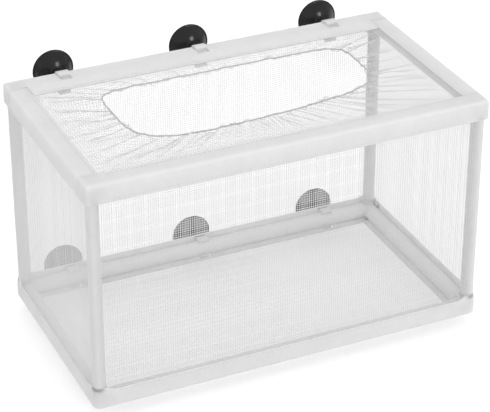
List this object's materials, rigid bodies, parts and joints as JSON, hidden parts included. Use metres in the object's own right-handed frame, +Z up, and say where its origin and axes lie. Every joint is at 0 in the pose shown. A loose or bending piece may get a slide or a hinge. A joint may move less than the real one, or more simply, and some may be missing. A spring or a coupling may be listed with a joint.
{
  "type": "fish breeding box",
  "caption": "Rectangular net cage that keeps fish fry apart, on a plug-together rod frame, with an elastic-edged top opening and suction cups clipped to its rear rails.",
  "frame": {"origin": "under the middle of the whole part's box, on the surface that the part stands on", "axes": "+X along the long side, +Y backwards, the way the suction cups face, and +Z up"},
  "size_m": [0.26, 0.1598, 0.1688],
  "materials": {
    "rod_plastic": "satin",
    "connector_plastic": "satin",
    "binding_tape": "matte",
    "mesh_net": "matte",
    "elastic": "matte",
    "clip_plastic": "gloss",
    "cup_rubber": "gloss"
  },
  "bodies": {
    "box": {"top_front_rod": "rod_plastic", "top_rear_rod": "rod_plastic", "top_left_rod": "rod_plastic", "top_right_rod": "rod_plastic", "bottom_front_rod": "rod_plastic", "bottom_rear_rod": "rod_plastic", "bottom_left_rod": "rod_plastic", "bottom_right_rod": "rod_plastic", "front_left_rod": "rod_plastic", "front_right_rod": "rod_plastic", "rear_left_rod": "rod_plastic", "rear_right_rod": "rod_plastic", "top_front_left_connector": "connector_plastic", "top_front_right_connector": "connector_plastic", "top_rear_left_connector": "connector_plastic", "top_rear_right_connector": "connector_plastic", "bottom_front_left_connector": "connector_plastic", "bottom_front_right_connector": "connector_plastic", "bottom_rear_left_connector": "connector_plastic", "bottom_rear_right_connector": "connector_plastic", "top_front_binding": "binding_tape", "top_rear_binding": "binding_tape", "top_left_binding": "binding_tape", "top_right_binding": "binding_tape", "bottom_front_binding": "binding_tape", "bottom_rear_binding": "binding_tape", "bottom_left_binding": "binding_tape", "bottom_right_binding": "binding_tape", "front_left_sleeve": "binding_tape", "front_right_sleeve": "binding_tape", "rear_left_sleeve": "binding_tape", "rear_right_sleeve": "binding_tape", "front_net": "mesh_net", "rear_net": "mesh_net", "left_net": "mesh_net", "right_net": "mesh_net", "floor_net": "mesh_net", "top_net": "mesh_net", "opening_elastic": "elastic"},
    "upper_left_clip_body": {"upper_left_clip": "clip_plastic"},
    "upper_left_cup_body": {"upper_left_cup": "cup_rubber"},
    "upper_middle_clip_body": {"upper_middle_clip": "clip_plastic"},
    "upper_middle_cup_body": {"upper_middle_cup": "cup_rubber"},
    "upper_right_clip_body": {"upper_right_clip": "clip_plastic"},
    "upper_right_cup_body": {"upper_right_cup": "cup_rubber"},
    "lower_left_clip_body": {"lower_left_clip": "clip_plastic"},
    "lower_left_cup_body": {"lower_left_cup": "cup_rubber"},
    "lower_middle_clip_body": {"lower_middle_clip": "clip_plastic"},
    "lower_middle_cup_body": {"lower_middle_cup": "cup_rubber"},
    "lower_right_clip_body": {"lower_right_clip": "clip_plastic"},
    "lower_right_cup_body": {"lower_right_cup": "cup_rubber"}
  },
  "joints": [
    {"name": "upper_left_clip_tilt", "type": "hinge", "parent": "box", "child": "upper_left_clip_body", "pos_m": [-0.092, 0.06003, 0.1553], "axis": [1, 0, 0], "range_deg": [-20, 20]},
    {"name": "upper_left_cup_turn", "type": "hinge", "parent": "upper_left_clip_body", "child": "upper_left_cup_body", "pos_m": [-0.092, 0.07003, 0.1553], "axis": [0, 1, 0], "continuous": true},
    {"name": "upper_middle_clip_tilt", "type": "hinge", "parent": "box", "child": "upper_middle_clip_body", "pos_m": [0, 0.06003, 0.1553], "axis": [1, 0, 0], "range_deg": [-20, 20]},
    {"name": "upper_middle_cup_turn", "type": "hinge", "parent": "upper_middle_clip_body", "child": "upper_middle_cup_body", "pos_m": [0, 0.07003, 0.1553], "axis": [0, 1, 0], "continuous": true},
    {"name": "upper_right_clip_tilt", "type": "hinge", "parent": "box", "child": "upper_right_clip_body", "pos_m": [0.092, 0.06003, 0.1553], "axis": [1, 0, 0], "range_deg": [-20, 20]},
    {"name": "upper_right_cup_turn", "type": "hinge", "parent": "upper_right_clip_body", "child": "upper_right_cup_body", "pos_m": [0.092, 0.07003, 0.1553], "axis": [0, 1, 0], "continuous": true},
    {"name": "lower_left_clip_tilt", "type": "hinge", "parent": "box", "child": "lower_left_clip_body", "pos_m": [-0.092, 0.06003, 0.0135], "axis": [1, 0, 0], "range_deg": [-20, 20]},
    {"name": "lower_left_cup_turn", "type": "hinge", "parent": "lower_left_clip_body", "child": "lower_left_cup_body", "pos_m": [-0.092, 0.07003, 0.0135], "axis": [0, 1, 0], "continuous": true},
    {"name": "lower_middle_clip_tilt", "type": "hinge", "parent": "box", "child": "lower_middle_clip_body", "pos_m": [0, 0.06003, 0.0135], "axis": [1, 0, 0], "range_deg": [-20, 20]},
    {"name": "lower_middle_cup_turn", "type": "hinge", "parent": "lower_middle_clip_body", "child": "lower_middle_cup_body", "pos_m": [0, 0.07003, 0.0135], "axis": [0, 1, 0], "continuous": true},
    {"name": "lower_right_clip_tilt", "type": "hinge", "parent": "box", "child": "lower_right_clip_body", "pos_m": [0.092, 0.06003, 0.0135], "axis": [1, 0, 0], "range_deg": [-20, 20]},
    {"name": "lower_right_cup_turn", "type": "hinge", "parent": "lower_right_clip_body", "child": "lower_right_cup_body", "pos_m": [0.092, 0.07003, 0.0135], "axis": [0, 1, 0], "continuous": true}
  ]
}
